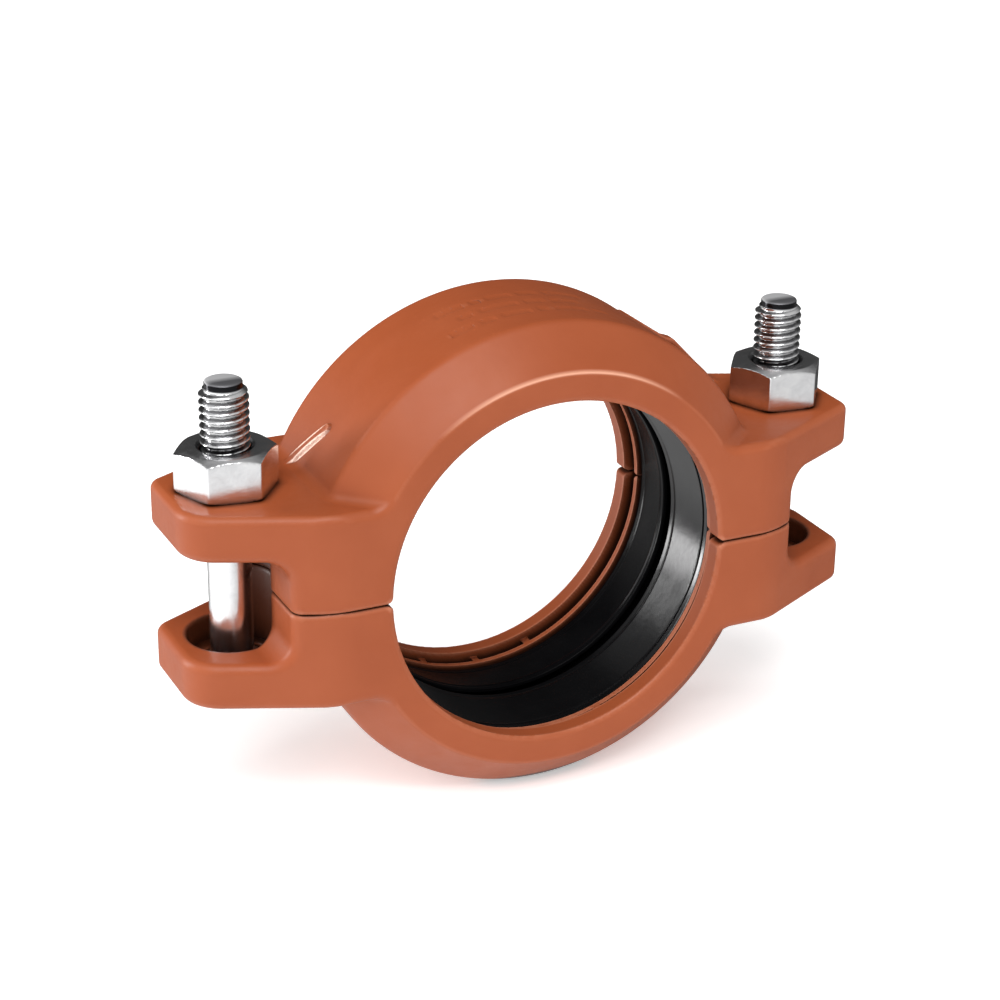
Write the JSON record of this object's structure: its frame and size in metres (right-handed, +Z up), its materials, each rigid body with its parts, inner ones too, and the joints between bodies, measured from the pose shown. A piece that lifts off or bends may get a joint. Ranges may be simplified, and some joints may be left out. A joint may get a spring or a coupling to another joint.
{
  "type": "grooved pipe coupling",
  "caption": "Rigid grooved pipe coupling: a split cast ring in enamel around a rubber gasket, closed by track-head bolts and hex nuts through side lugs.",
  "frame": {"origin": "on the pipe axis, midway between the two end faces", "axes": "+Y along the pipe axis, +X across the bolts, +Z up along the bolts from the heads to the nuts"},
  "size_m": [0.145, 0.0446, 0.0978],
  "materials": {
    "enamel": "glossy orange enamel on ductile iron",
    "gasket_rubber": "smooth black moulded rubber",
    "bolt_steel": "bright zinc plate",
    "nut_steel": "bright zinc plate"
  },
  "bodies": {
    "upper_housing": {"upper_housing": "enamel"},
    "lower_housing": {"lower_housing": "enamel"},
    "gasket": {"gasket": "gasket_rubber"},
    "bolt_left": {"bolt_left": "bolt_steel"},
    "bolt_right": {"bolt_right": "bolt_steel"},
    "nut_left": {"nut_left": "nut_steel"},
    "nut_right": {"nut_right": "nut_steel"}
  },
  "joints": [
    {"name": "housing_opens", "type": "slide", "parent": "upper_housing", "child": "lower_housing", "axis": [0, 0, -1], "range_m": [0, 0.012]},
    {"name": "gasket_follows", "type": "slide", "parent": "upper_housing", "child": "gasket", "axis": [0, 0, -1], "range_m": [0, 0.006]},
    {"name": "bolt_left_slides", "type": "slide", "parent": "upper_housing", "child": "bolt_left", "axis": [0, 0, -1], "range_m": [0, 0.012]},
    {"name": "bolt_right_slides", "type": "slide", "parent": "upper_housing", "child": "bolt_right", "axis": [0, 0, -1], "range_m": [0, 0.012]},
    {"name": "nut_left_turns", "type": "hinge", "parent": "upper_housing", "child": "nut_left", "pos_m": [-0.06, 0, 0.024], "axis": [0, 0, 1], "range_deg": [0, 2722]},
    {"name": "nut_right_turns", "type": "hinge", "parent": "upper_housing", "child": "nut_right", "pos_m": [0.06, 0, 0.024], "axis": [0, 0, 1], "range_deg": [0, 2722]}
  ],
  "couplings": [
    {"joint": "gasket_follows", "follows": "housing_opens", "ratio": 0.5},
    {"joint": "bolt_left_slides", "follows": "housing_opens", "ratio": 1},
    {"joint": "bolt_right_slides", "follows": "housing_opens", "ratio": 1},
    {"joint": "nut_left_turns", "follows": "housing_opens", "rad_per_m": 3957.9},
    {"joint": "nut_right_turns", "follows": "housing_opens", "rad_per_m": 3957.9}
  ]
}
